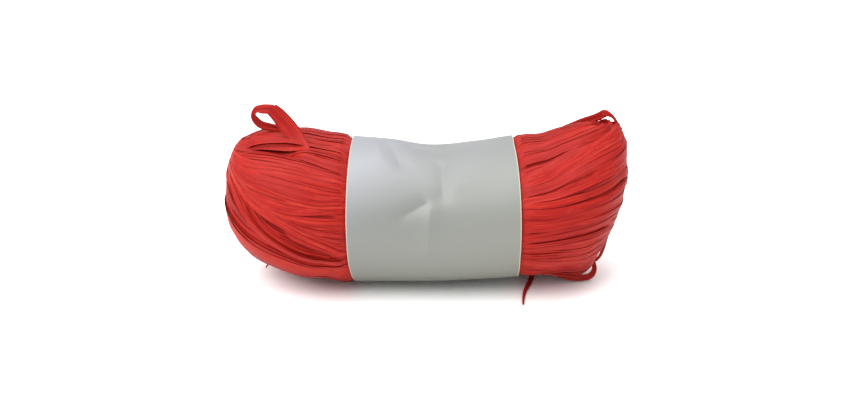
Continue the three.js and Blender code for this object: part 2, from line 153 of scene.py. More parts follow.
# Places where ribbons lie deeper or stand higher than their neighbours: guide row, half its reach
# in rows, from and to what travel, and how many mm up
BEDS = {
    "left": [
        (3.2, 0.5, 0.62, 0.84, -4.2), (2.3, 0.5, 0.6, 0.85, 1.0), (11.4, 0.16, 0.62, 0.88, -3.0),
        (11.62, 0.14, 0.44, 0.63, -2.8), (12.75, 0.2, 0.56, 0.9, -2.6), (13.85, 0.16, 0.55, 0.85, -2.2),
        (11.8, 0.12, 0.36, 0.43, -2.2), (0.3, 1.6, 0.3, 0.62, 0.7), (1.5, 2.0, 1.4, 1.7, 0.7),
        (16.2, 1.0, 0.55, 0.9, 0.5), (17.3, 0.9, 0.36, 0.56, 0.6), (2.6, 0.4, 0.3, 0.54, 0.6),
        (14.9, 0.9, 0.5, 0.95, 0.9), (12.3, 0.25, 0.5, 0.9, 0.8), (7.4, 0.2, 0.6, 0.75, -1.2),
        (8.6, 0.2, 0.42, 0.55, -1.2), (6.3, 0.2, 0.38, 0.5, -1.2),
    ],
    "right": [
        (7.15, 0.2, 0.62, 0.9, -2.4), (3.3, 0.3, 0.68, 0.8, -2.4), (5.6, 0.2, 0.45, 0.7, -1.2),
        (6.55, 0.2, 0.4, 0.75, -1.2), (9.5, 0.2, 0.45, 0.85, -1.4), (10.5, 0.2, 0.45, 0.8, -1.2),
        (11.5, 0.2, 0.4, 0.6, -1.3), (2.5, 0.2, 0.42, 0.7, -1.2), (12.4, 0.3, 0.6, 0.8, -1.0),
        (0.4, 0.9, 0.8, 1.45, -3.6), (13.2, 0.6, 0.76, 1.2, 1.0),
        (14.3, 1.0, 0.66, 1.34, -4.5), (2.0, 0.9, 0.88, 1.15, -1.3),
        (11.0, 2.2, 0.85, 1.15, 0.5), (0.3, 1.2, 0.4, 0.62, 0.5),
    ],
}

# Creases of the band and deep gaps in the raffia: from x and angle to x and angle, half the width,
# height
CREASES = [(-2, -10, 6, -6, 9, -1.5), (-20, 0, -12, 28, 5, -0.8), (7, 26, 7, 54, 4, -0.6),
           (-12, 72, -2, 60, 4, -0.5), (2, 64, 1, 98, 4.5, 0.5)]
GAPS = [(-85, 25, -64, 27, 4, -3.5), (77, 27, 88, 27, 3.5, -1.5), (74, 68, 90, 67, 3, -1.6),
        (84, -15, 92, -13, 9, -5), (79, 160, 88, 160, 7, -1.6)]

# The paper's cut shows as a thin pale line. It is drawn this wide, wider than the paper is thick, so
# that a picture shows it.
CUT_LINE = 0.4

# Sharp creases that only the paper has, in the same order
SHARP_CREASES = [
    (9, -8, 10, 21, 2.2, -0.5), (7.2, 27, 7.2, 51, 1.6, -0.5), (-10, 69, -1, 59, 1.4, -0.5),
    (-1, 59, 1.4, 61, 1.2, -0.35), (1.4, 61, 0.2, 98, 1.7, 0.4), (-24, 4, -22, 24, 2.4, 0.3),
    (14, 46, 30, 40, 2.6, 0.3), (-18, 1, -13, 26, 1.9, -0.35), (0.2, 98, 12, 106, 1.8, 0.25),
    (-30, 88, -12, 84, 2.4, 0.2), (16, 72, 32, 78, 2.4, -0.2),
]


def section_value(x, column):
    """A smooth curve through one column of the section table."""
    xs = SECTIONS[:, 0]
    values = SECTIONS[:, column]
    last = len(xs) - 1
    before = np.maximum(np.arange(len(xs)) - 1, 0)
    after = np.minimum(np.arange(len(xs)) + 1, last)
    slopes = (values[after] - values[before]) / (xs[after] - xs[before])
    row = np.clip(np.searchsorted(xs, x) - 1, 0, last - 1)
    span = xs[row + 1] - xs[row]
    t = np.clip((x - xs[row]) / span, 0, 1)
    return (
        (2 * t**3 - 3 * t**2 + 1) * values[row]
        + (t**3 - 2 * t**2 + t) * span * slopes[row]
        + (-2 * t**3 + 3 * t**2) * values[row + 1]
        + (t**3 - t**2) * span * slopes[row + 1]
    )


def form_point(end, travel, angle):
    """A point of the wound form: travel 0 at the waist in front, 1 on the fold, 2 at the waist behind."""
    turn = np.clip(travel - SHOULDER_TRAVEL, 0, 1) * math.pi
    outward = np.minimum(np.minimum(travel, 2 - travel), SHOULDER_TRAVEL) / SHOULDER_TRAVEL
    closing = np.sin(turn)
    x = end["side"] * (end["shoulder"] * outward + end["reach"] * closing)
    bow = (
        end["least"]
        + end["bow"] * np.abs(np.sin(angle)) ** end["peaked"]
        + end["lean"] * np.cos(angle)
        + end["fuller"] * np.sin(2 * np.abs(angle))
    )
    depth = np.sign(np.cos(turn)) * np.abs(np.cos(turn)) ** BLUNTNESS * HALF_DEPTH
    return np.stack([
        x + end["side"] * bow * closing**2,
        section_value(x, BACK) - depth * np.sin(angle),
        section_value(x, MIDDLE) - SETTLED + section_value(x, TALL) * np.cos(angle),
    ], axis=-1)


def unit(v):
    """The same directions, each one long."""
    return v / np.maximum(np.linalg.norm(v, axis=-1, keepdims=True), 1e-9)


def form_normal(end, travel, angle):
    """Which way the form faces."""
    step = 0.004
    along = form_point(end, travel + step, angle) - form_point(end, travel - step, angle)
    down = form_point(end, travel, angle + step) - form_point(end, travel, angle - step)
    return unit(np.cross(along, down) * -end["side"])


def lock_relief(end, locks, travel, angle):
    """How far the locks stand out of the form, or a gap goes into it."""
    step = 0.02
    tall = section_value(np.array(float(end["side"] * end["shoulder"])), TALL)

    def lock_angle(lock, at):
        closing = 1 - np.clip(np.abs(at - 1) / LOCK_REACH, 0, 1)
        start = np.where(at < 1, lock[0], lock[2])
        return (start + (lock[1] - start) * closing ** lock[3]) * DEG

    raised = np.zeros_like(angle)
    sunk = np.zeros_like(angle)
    for lock in locks:
        centre = lock_angle(lock, travel)
        here = form_point(end, travel, centre)
        along = np.linalg.norm(form_point(end, travel + step, centre) - here, axis=-1)
        drift = np.abs(lock_angle(lock, travel + step) - centre) * tall
        slant = np.hypot(1, np.minimum(drift / np.maximum(along, 1e-6), STEEPEST_LOCK))
        away = np.abs(np.abs(angle) - centre) * tall / (lock[4] * slant)
        swell = np.where(away < 1, (1 - away**2) * lock[5], 0)
        raised = np.maximum(raised, swell)
        sunk = np.minimum(sunk, swell)
    return raised + sunk


def crease_relief(creases, x, angle, sharpness=2):
    """How far creases stand out of the form or go into it."""
    relief = np.zeros_like(x)
    for x0, a0, x1, a1, half, height in creases:
        along_x = x1 - x0
        along_arc = (a1 - a0) * DEG * ARC_RADIUS
        away_x = x - x0
        away_arc = (angle - a0 * DEG) * ARC_RADIUS
        t = np.clip((away_x * along_x + away_arc * along_arc) / (along_x**2 + along_arc**2), 0, 1)
        away = np.hypot(away_x - t * along_x, away_arc - t * along_arc) / half
        relief += height * np.exp(-(away**sharpness))
    return relief


def smooth(low, high, value):
    """A soft step from 0 at low to 1 at high."""
    t = np.clip((value - low) / (high - low), 0, 1)
    return t * t * (3 - 2 * t)


# How the paper's cut edges slant: the angle from the top toward the front, and how far the left and
# the right edge lie beside their place there
EDGE_SLANT = np.array([
    (-60, 0, 0.3), (-10, 0.6, -0.2), (10, 0.5, -0.8), (40, 0.2, -0.2), (75, 0, 0.3), (110, 0.4, 0.6),
    (135, 1.5, 1.2), (160, 3.0, 2.2), (180, 3.0, 2.2),
])


def edge_slant(facing):
    """How far the left and the right edge of the paper lie beside their place, at a signed angle."""
    degrees = facing / DEG
    return [np.interp(degrees, EDGE_SLANT[:, 0], EDGE_SLANT[:, column]) for column in (1, 2)]


def under_paper(x, fade, facing):
    """1 under the paper, and 0 from so many mm beside it."""
    left_slant, right_slant = edge_slant(facing)
    left, right = BAND_LEFT + left_slant, BAND_RIGHT + right_slant
    return smooth(left - fade, left - HELD_BESIDE, x) * (1 - smooth(right + HELD_BESIDE, right + fade, x))


def signed_angle(travel, angle):
    """The angle from the top, positive toward the front and negative toward the back."""
    return np.where(travel < 1, angle, -angle)


def rest_on_floor(points, reach=1.2, least=0.0):
    """Presses what would go through the surface flat onto it, keeping what lies above in order."""
    z = points[..., 2]
    pressed = least + (reach - least) * np.exp((np.minimum(z, reach) - reach) / (reach - least))
    points[..., 2] = np.where(z < reach, pressed, z)
    return points


# Under the paper the ribbons lie this deep, and this share of their own levels is left. Beside it
# they are still drawn in a little.
UNDER_PAPER_LIFT = -1.5
PRESSED_SHARE = 0.25
DRAWN_IN = -0.25
DRAWN_REACH = 8.0

# Ribbons stand on edge as they turn round the folds, so their middles lie this much deeper there
# (angle from the top, sink), fully so up to the first of two travels from the fold
FOLD_SINK = {
    "left": np.array([
        (0, 1.2), (15, 1.6), (30, 0.6), (55, 0.1), (80, 0.4), (100, 0.8), (120, 0.2), (180, 0.8)]),
    "right": np.array([
        (0, 2.4), (25, 1.4), (40, 0.5), (90, 0.5), (125, 0.4), (150, -0.5), (180, 0.6)]),
}
FOLD_REACH = (0.05, 0.3)

# How far the ribbons' faces turn back from the locks' flanks to the form
LEVELLED = 0.25

# How much of the locks' relief the ribbons follow; they bridge the rest
FOLLOWED = 0.5


def lifted_point(name, travel, angle, level):
    """A point of the raffia's surface, with its locks and gaps, at a level in mm above it."""
    end = ENDS[name]
    point = form_point(end, travel, angle)
    x = point[..., 0]
    facing = signed_angle(travel, angle)
    held = under_paper(x, SWELL, facing)
    sink = np.interp(np.abs(facing) / DEG, *FOLD_SINK[name].T)
    locked = FOLLOWED * lock_relief(end, LOCKS[name], travel, angle) + crease_relief(GAPS, x, facing)
    locked = locked - sink * (1 - smooth(*FOLD_REACH, np.abs(travel - 1)))
    free = locked * (1 - under_paper(x, LOCK_SWELL, facing)) + level
    free = free + DRAWN_IN * under_paper(x, DRAWN_REACH, facing)
    pressed = crease_relief(CREASES, x, facing) + UNDER_PAPER_LIFT + PRESSED_SHARE * level
    lift = free * (1 - held) + pressed * held
    return point + form_normal(end, travel, angle) * lift[..., None]


# Ribbons as thin closed strips

# Where the eight points of a ribbon's section lie across it, and whether on its upper face
ACROSS = np.array([-1, -0.5, 0, 0.5, 1, 0.5, 0, -0.5])
UPPER = np.array([0, 1, 1, 1, 0, -1, -1, -1])
RING = len(ACROSS)

# How many ripples a ribbon has over half its width, in half waves
RIPPLES = 2.2


class Strip:
    """One ribbon: its centre line and frame, its width along the way and its look."""

    def __init__(self, points, side, up, wide, thick, cup, ripple, phase, tone, seed):
        self.points = points
        self.side = side
        self.up = up
        self.wide = np.broadcast_to(wide, len(points))
        self.thick = thick
        self.cup = np.broadcast_to(cup, len(points))
        self.ripple = ripple
        self.phase = phase
        self.tone = tone
        self.seed = seed

    def rings(self):
        """The eight points of its section at each point of its centre line."""
        half = self.wide[:, None] / 2
        u = ACROSS[None, :]
        height = self.cup[:, None] * half * (1 - u**2)
        height = height + self.ripple * half * np.sin(math.pi * RIPPLES * u + self.phase)
        height = height + UPPER[None, :] * self.thick / 2
        return (
            self.points[:, None, :]
            + self.side[:, None, :] * (u * half)[..., None]
            + self.up[:, None, :] * height[..., None]
        )


def strip_frames(points, out, roll=0.0):
    """The side and up directions along a line, with its flat face turned to out and then rolled."""
    tangent = unit(np.gradient(points, axis=0))
    side = unit(np.cross(tangent, out))
    up = unit(np.cross(side, tangent))
    roll = np.broadcast_to(roll, len(points))[:, None]
    return side * np.cos(roll) + up * np.sin(roll), up * np.cos(roll) - side * np.sin(roll)


def link(piece):
    bpy.context.scene.collection.objects.link(piece)
    return piece


def smooth_mesh(name, vertices, faces):
    mesh = bpy.data.meshes.new(name)
    mesh.from_pydata(vertices.tolist(), [], faces)
    mesh.update()
    mesh.shade_smooth()
    return mesh


def edge_ends(mesh):
    """The numbers of the two corners of each edge."""
    ends = np.empty(2 * len(mesh.edges), dtype=np.int32)
    mesh.edges.foreach_get("vertices", ends)
    return ends.reshape(-1, 2)


def strips_object(name, strips, settings):
    """One mesh object of many closed strips, with their lengthwise map, tone and seed."""
    vertices, quads, caps, uvs, tones, seeds = [], [], [], [], [], []
    base = 0
    for strip in strips:
        rings = rest_on_floor(strip.rings())
        count = len(rings)
        vertices.append(rings.reshape(-1, 3))
        i = np.arange(count - 1)[:, None] * RING
        k = np.arange(RING)[None, :]
        next_k = (k + 1) % RING
        quad = np.stack([i + k, i + next_k, i + RING + next_k, i + RING + k], axis=-1)
        quads.append(quad.reshape(-1, 4) + base)
        first = np.arange(RING)
        caps.append((base + first[::-1]).tolist())
        caps.append((base + (count - 1) * RING + first).tolist())
        arc = np.concatenate([[0], np.cumsum(np.linalg.norm(np.diff(strip.points, axis=0), axis=1))])
        u = ACROSS[None, :] * strip.wide[:, None] / 2
        uvs.append(np.stack([u, np.broadcast_to(arc[:, None], u.shape)], axis=-1).reshape(-1, 2))
        tones.append(np.full(count * RING, strip.tone))
        seeds.append(np.full(count * RING, strip.seed))
        base += count * RING
    vertices = to_metres(np.concatenate(vertices))
    quads = np.concatenate(quads)
    uvs = np.concatenate(uvs)

    mesh = smooth_mesh(name, vertices, quads.tolist() + caps)
    loops = np.empty(len(mesh.loops), dtype=np.int32)
    mesh.loops.foreach_get("vertex_index", loops)
    layer = mesh.uv_layers.new(name="StrandUV")
    layer.data.foreach_set("uv", uvs[loops].astype(np.float32).ravel())
    for attribute, values in (("tone", tones), ("seed", seeds)):
        data = mesh.attributes.new(attribute, "FLOAT", "POINT")
        data.data.foreach_set("value", np.concatenate(values).astype(np.float32))
    a, b = edge_ends(mesh).T
    same_rim = (a % RING == b % RING) & np.isin(a % RING, (0, 4))
    cut_end = np.abs(a - b) < RING
    sharp = same_rim | (cut_end & (a // RING == b // RING) & np.isin(a // RING, cut_rings(strips)))
    mesh.edges.foreach_set("use_edge_sharp", sharp)
    mesh.materials.append(raffia_material(settings))
    piece = link(bpy.data.objects.new(name, mesh))
    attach(piece, "root")
    return piece


def cut_rings(strips):
    """The numbers of the rings at the strips' cut ends."""
    counts = np.cumsum([len(strip.points) for strip in strips])
    starts = np.concatenate([[0], counts[:-1]])
    return np.concatenate([starts, counts - 1])


# The least and the most number of random waves along a ribbon, as shares of the usual number
WAVE_SPEEDS = (0.7, 1.3)


def wander(rng, s, count, waves, size):
    """A slow random drift along each of a number of ribbons."""
    total = np.zeros((count, s.shape[-1]))
    for k in range(1, waves + 1):
        height = rng.normal(size=(count, 1)) / k
        speed = k * rng.uniform(*WAVE_SPEEDS, (count, 1))
        phase = rng.uniform(0, 2 * math.pi, (count, 1))
        total += height * np.sin(2 * math.pi * speed * s + phase)
    return size * total


def eased(rows, passes=3):
    """The same rows with their corners rounded."""
    for _ in range(passes):
        inner = 0.25 * rows[:, :-2] + 0.5 * rows[:, 1:-1] + 0.25 * rows[:, 2:]
        rows = np.concatenate([rows[:, :1], inner, rows[:, -1:]], axis=1)
    return rows


# How much of a ribbon's shift on the fold is left at the last guide before it, and how late ribbons
# turn behind the fold
SHIFT_BEFORE_FOLD = 0.6
LATE_TURN = 1.15


def guided_angle(name, place, travel, back, fold_shift):
    """The angle of each ribbon along its travel: by the guides in front, by one turn behind."""
    rows = GUIDES[name]
    low = np.clip(np.floor(place).astype(int), 0, len(rows) - 2)
    share = (place - low)[:, None]
    own = rows[low] * (1 - share) + rows[low + 1] * share
    own[:, -1] += fold_shift
    own[:, -2] += SHIFT_BEFORE_FOLD * fold_shift
    front = np.array([np.interp(t, GUIDE_TRAVEL, row) for t, row in zip(travel, own)])
    closing = np.clip(1 - (travel - 1) / LOCK_REACH, 0, 1)
    behind = back[:, None] + (own[:, -1:] - back[:, None]) * closing**LATE_TURN
    return eased(np.where(travel < 1, front, behind))


def bed_level(name, place, travel):
    """How far a ribbon lies deeper or stands higher than its neighbours."""
    ease = 0.03
    level = np.zeros_like(travel)
    for row, reach, start, stop, height in BEDS[name]:
        beside = np.exp(-(((place - row) / reach) ** 2))[:, None]
        begun = smooth(start - ease, start + ease, travel)
        ended = smooth(stop - ease, stop + ease, travel)
        level += beside * (begun * (1 - ended)) * height
    return level


# Along each ribbon: its number of steps, how many mm of it lie under the paper and over what travel
# it comes free of it
RIBBON_STEPS = 54
TUCKED_IN = 7
FREED = 0.12

# In degrees, how far ribbons turn on their way to the band behind, how much that and their place on
# the fold vary, and how far up and down the back they reach
BACK_TURN = 4
BACK_SPREAD = 4
FOLD_SPREAD = 2.0
BACK_LIMITS = (-4, 184)

# How much the roll and the width of a ribbon wander, and how narrow and wide it gets, as shares
ROLL_WANDER = 0.6
WIDTH_WANDER = 0.16
WIDTH_LIMITS = (0.5, 1.5)

# From and to what travel the single ribbons dip under the others behind the fold
DIP_TRAVEL = (1.0, 1.15)

# From and to what value each ribbon's cup, ripple, phase and seed lie
CUPS = (-0.03, 0.1)
RIPPLE_HEIGHTS = (0, 0.03)
PHASES = (0, 6.28)
STRIP_SEEDS = (0, 500)


def wound_strips(name, place, level, wide, settings, rng, drift=0.9, dip=0.0):
    """Ribbons from under the band in front, round the end's fold, to under the band behind."""
    count = len(place)
    band = BAND_LEFT if name == "left" else BAND_RIGHT
    tucked = (abs(band) - TUCKED_IN) / ENDS[name]["shoulder"] * SHOULDER_TRAVEL
    s = np.linspace(0, 1, RIBBON_STEPS + 1)[None, :]
    travel = np.broadcast_to(tucked + (2 - 2 * tucked) * s, (count, RIBBON_STEPS + 1))
    fronts = np.interp(place, np.arange(len(GUIDES[name])), GUIDES[name][:, 0])
    back = np.clip(fronts + BACK_TURN + rng.normal(size=count) * BACK_SPREAD, *BACK_LIMITS)
    loose = smooth(tucked, tucked + FREED, travel) * (1 - smooth(2 - tucked - FREED, 2 - tucked, travel))
    angle = guided_angle(name, place, travel, back, rng.normal(size=count) * FOLD_SPREAD)
    angle = (angle + wander(rng, s, count, 3, drift) * loose) * DEG
    height = level[:, None] + bed_level(name, place, travel) - dip * smooth(*DIP_TRAVEL, travel)
    height = height + wander(rng, s, count, 4, settings.unevenness / MM) * loose
    points = lifted_point(name, travel, angle, height)
    nudge = 0.02
    below = lifted_point(name, travel, angle + nudge, height)
    down = below - lifted_point(name, travel, angle - nudge, height)
    tangent = np.gradient(points, axis=1)
    out = unit(np.cross(tangent, down))
    facing = form_normal(ENDS[name], travel, angle)
    out = unit(out * np.sign(np.sum(out * facing, axis=-1, keepdims=True)) + LEVELLED * facing)
    roll = (rng.normal(size=(count, 1)) + wander(rng, s, count, 2, ROLL_WANDER)) * settings.roll * loose
    width = wide[:, None] * np.clip(1 + wander(rng, s, count, 3, WIDTH_WANDER), *WIDTH_LIMITS)
    strips = []
    for i in range(count):
        side, up = strip_frames(points[i], out[i], roll[i])
        strips.append(Strip(
            points[i], side, up, width[i], settings.thickness / MM,
            rng.uniform(*CUPS), rng.uniform(*RIPPLE_HEIGHTS), rng.uniform(*PHASES),
            rng.normal(), rng.uniform(*STRIP_SEEDS)))
    return strips


# Layers of ribbon over a whole end: how many, lowest and highest level, least and most width as
# shares of the usual width there
LAYERS = [
    dict(count=60, low=-2.2, high=-1.5, narrow=1.5, broad=2.2),
    dict(count=120, low=-1.1, high=-0.65, narrow=0.9, broad=1.7),
    dict(count=150, low=-0.5, high=-0.2, narrow=0.6, broad=1.3),
    dict(count=80, low=-0.15, high=0.0, narrow=0.2, broad=0.55),
]

# Single ribbons that show by themselves: guide row, width and level in mm
SINGLE = {
    "left": [
        (14.6, 4.4, -0.1), (15.0, 6.5, 0.2), (15.6, 7.5, 0.3), (16.2, 7.0, 0.15), (16.9, 6.5, 0.1),
        (12.35, 2.6, 0.4), (11.1, 2.4, 0.4), (2.2, 3.0, 0.3), (3.95, 3.2, 0.2),
    ],
    "right": [
        (3.75, 4.5, 0.4), (4.3, 4.5, 0.3), (5.1, 5.0, 0.2), (6.8, 3.0, 0.45), (7.55, 3.4, 0.4),
        (2.0, 4.0, 0.3), (9.1, 3.6, 0.2), (13.2, 4.0, 0.3),
    ],
}

# Where single ribbons lie bare, no narrow ones cross them: from and to which guide row
BARE = {"left": (14.3, 17.2), "right": (3.6, 5.3)}

# The usual width of ribbon by guide row, in mm
USUAL_WIDTH = {
    "left": (
        (0, 2.6), (3, 2.2), (6, 2.6), (9, 2.2), (12, 2.0), (13.5, 2.6), (15, 5.0), (16, 4.0), (18, 3.0)),
    "right": ((0, 2.6), (3, 3.0), (4.5, 5.0), (6, 3.6), (8, 3.0), (11, 2.6), (13, 3.0), (15, 3.0)),
}


def spread_places(name, count, rng):
    """Places among the guides, as close together as the guides' widest spread asks."""
    rows = GUIDES[name]
    spread = np.abs(np.diff(rows, axis=0)).max(axis=1)
    edges = np.concatenate([[0], np.cumsum(spread)])
    at = (np.arange(count) + rng.uniform(0, 1, count)) / count * edges[-1]
    return np.interp(at, edges, np.arange(len(rows)))


# Where the random numbers of each group of ribbons start
SEEDS = {"left": 11, "right": 23, "sprung": 71}


def end_strips(name, settings):
    """All ribbons of one end, from the deepest layer out."""
    rng = np.random.default_rng(SEEDS[name])
    strips = []
    for layer in LAYERS:
        count = round(layer["count"] * settings.fullness)
        place = spread_places(name, count, rng)
        usual = np.interp(place, *zip(*USUAL_WIDTH[name]))
        wide = usual * rng.uniform(layer["narrow"], layer["broad"], count)
        level = rng.uniform(layer["low"], layer["high"], count)
        if layer is LAYERS[-1]:
            kept = (place < BARE[name][0]) | (place > BARE[name][1])
            place, level, wide = place[kept], level[kept], wide[kept]
        strips += wound_strips(name, place, level, wide, settings, rng)
    place, wide, level = np.array(SINGLE[name]).T
    strips += wound_strips(name, place, level, wide, settings, rng, drift=0.3, dip=1.4)
    return strips


# Folds of ribbon that spring clear of the form

# A row for each point of the route: x, y, z and width
SPRUNG = {
    "big loop, its arm and top": [
        (-59.1, 1, 69.5, 2.4), (-67, 0, 73.6, 3.4), (-74.5, -1, 75.7, 3.9), (-79.8, -2, 77.5, 3.9),
        (-82.5, -3, 80.6, 3.4), (-82.9, -4, 83.5, 2.4), (-81.1, -5, 85.8, 3.3), (-78.3, -5.8, 86.2, 4.5),
        (-75.4, -6.2, 86.3, 4.7), (-72.5, -6.4, 86.2, 4.5)],
    "big loop, its broad leg": [
        (-73.6, -7, 86.5, 6.2), (-70.2, -7.4, 83.2, 7.3), (-66.5, -8.5, 78.8, 8.1), (-62.3, -11, 73.9, 8.1),
        (-58.7, -15, 69.9, 6.6), (-55.5, -19, 67.7, 4), (-52.2, -22, 65.2, 2.8), (-48.6, -25.5, 62.6, 1.9)],
    "right peak, its left side": [
        (64.4, 12, 70.3, 2.5), (70.3, 9, 73.4, 3.5), (76.4, 5, 77.1, 3.9), (81.3, 1, 80.1, 3.9),
        (85.8, -2, 83.4, 3.8)],
    "right peak, its right side": [
        (83.8, -2.6, 83.8, 2.9), (85.9, -3, 83.5, 2.9), (88.1, -3.4, 82.4, 1.9), (89.7, -3.7, 81, 1.4),
        (91, -4, 78.6, 1.7), (92.1, -4, 74.9, 2.4), (92, -4, 69.9, 2.4)],
    "low fold at the right": [
        (64.1, -14, 4.5, 2.5), (70.1, -14.5, 3, 3.5), (75.6, -14.5, 2.3, 3.2), (79.9, -14, 2.6, 3.2),
        (82.6, -12.5, 3.8, 3), (83.6, -11, 6.4, 2.5), (82.5, -9, 10.5, 2.2)],
    "ribbon on edge down the right end": [
        (93.9, -9, 49.7, 1.5), (92.9, -9, 43.0, 2.0), (91.5, -9, 35.7, 2.2), (90.0, -9, 28.9, 2.2),
        (88.9, -9, 22.0, 2.0), (87.8, -9, 16.1, 1.6), (86.5, -8.5, 11.8, 1.5), (84.8, -8, 9.3, 1.5),
        (82.3, -8, 8.1, 1.5)],
    "stub at the lower left": [
        (-75.9, -14, 11.2, 1.2), (-77.5, -15, 10.6, 1.1), (-78.7, -16, 9.8, 0.8), (-79.5, -16.5, 8.6, 0.5)],
}
FACING = np.array([0, -0.94, 0.34])

# The ribbons of a sprung fold, one on the other: how far each lies beside the route and how wide it
# is, as shares of the fold's width. Then their number of steps, by how many mm each lies on the one
# before, how much they wander sideways (mm) and turn, and their cup, ripple and spread of tone.
SHARES = [(0.0, 1.0), (-0.24, 0.36), (0.3, 0.24)]
SPRUNG_STEPS = 56
SPRUNG_STACK = 0.22
SPRUNG_WANDER = 0.08
SPRUNG_TURN = 0.12
SPRUNG_CUPS = (0.0, 0.08)
SPRUNG_RIPPLE = 0.03
SPRUNG_TONE = 0.6

# The loose end's route on the surface in front, from under the hank: x, y, z
LOOSE_END = np.array([
    (53.4, -5, 1.4), (53.0, -8, 1.2), (52.2, -12, 0.8), (50.7, -17, 0.62), (49.0, -22, 0.62),
    (47.4, -27, 0.62), (46.4, -32, 0.62), (45.7, -36.5, 0.62), (45.2, -41, 0.62),
])

# Its number of steps, its width in mm, how much narrower it is at its tip, and how far and how
# quickly it turns about its own length
LOOSE_END_STEPS = 48
LOOSE_END_WIDE = 2.5
LOOSE_END_TAPER = 0.62
LOOSE_END_ROLL = 0.25
LOOSE_END_ROLLS = 3.0


def spline(rows, steps):
    """A smooth line through rows of numbers."""
    rows = np.asarray(rows, dtype=float)
    padded = np.concatenate([[2 * rows[0] - rows[1]], rows, [2 * rows[-1] - rows[-2]]])
    place = np.linspace(0, len(rows) - 1, steps + 1)
    row = np.minimum(place.astype(int), len(rows) - 2)
    t = (place - row)[:, None]
    p0, p1, p2, p3 = (padded[row + k] for k in range(4))
    return 0.5 * (
        2 * p1 + (p2 - p0) * t + (2 * p0 - 5 * p1 + 4 * p2 - p3) * t**2 + (3 * p1 - p0 - 3 * p2 + p3) * t**3
    )


def sprung_strips(settings):
    """The ribbons of all folds that spring clear."""
    rng = np.random.default_rng(SEEDS["sprung"])
    strips = []
    for route in SPRUNG.values():
        line = spline(route, SPRUNG_STEPS)
        centre, wide = line[:, :3], line[:, 3]
        out = np.broadcast_to(FACING, centre.shape)
        side, _ = strip_frames(centre, out)
        s = np.linspace(0, 1, len(centre))[None, :]
        for k, (beside, share) in enumerate(SHARES):
            shift = beside * wide + wander(rng, s, 1, 2, SPRUNG_WANDER)[0] * (k > 0)
            points = centre + side * shift[:, None] + FACING * SPRUNG_STACK * k
            own_side, own_up = strip_frames(points, out, wander(rng, s, 1, 2, SPRUNG_TURN)[0])
            strips.append(Strip(
                points, own_side, own_up, wide * share, settings.thickness / MM,
                rng.uniform(*SPRUNG_CUPS), SPRUNG_RIPPLE, rng.uniform(*PHASES),
                rng.normal() * SPRUNG_TONE, rng.uniform(*STRIP_SEEDS)))
    return strips


# Materials


def linear(code):
    """A colour from its sRGB hex value."""
    parts = [int(code[i:i + 2], 16) / 255 for i in (1, 3, 5)]
    return (*[c / 12.92 if c <= 0.04045 else ((c + 0.055) / 1.055) ** 2.4 for c in parts], 1.0)


def add_node(tree, kind, values=None, links=None, **settings):
    """A node with its settings, input values and incoming links."""
    node = tree.nodes.new(kind)
    for name, value in settings.items():
        setattr(node, name, value)
    for key, value in (values or {}).items():
        node.inputs[key].default_value = value
    for key, socket in (links or {}).items():
        tree.links.new(socket, node.inputs[key])
    return node


def new_material(name):
    material = bpy.data.materials.new(name)
    material.use_nodes = True
    material.node_tree.nodes.clear()
    return material, material.node_tree


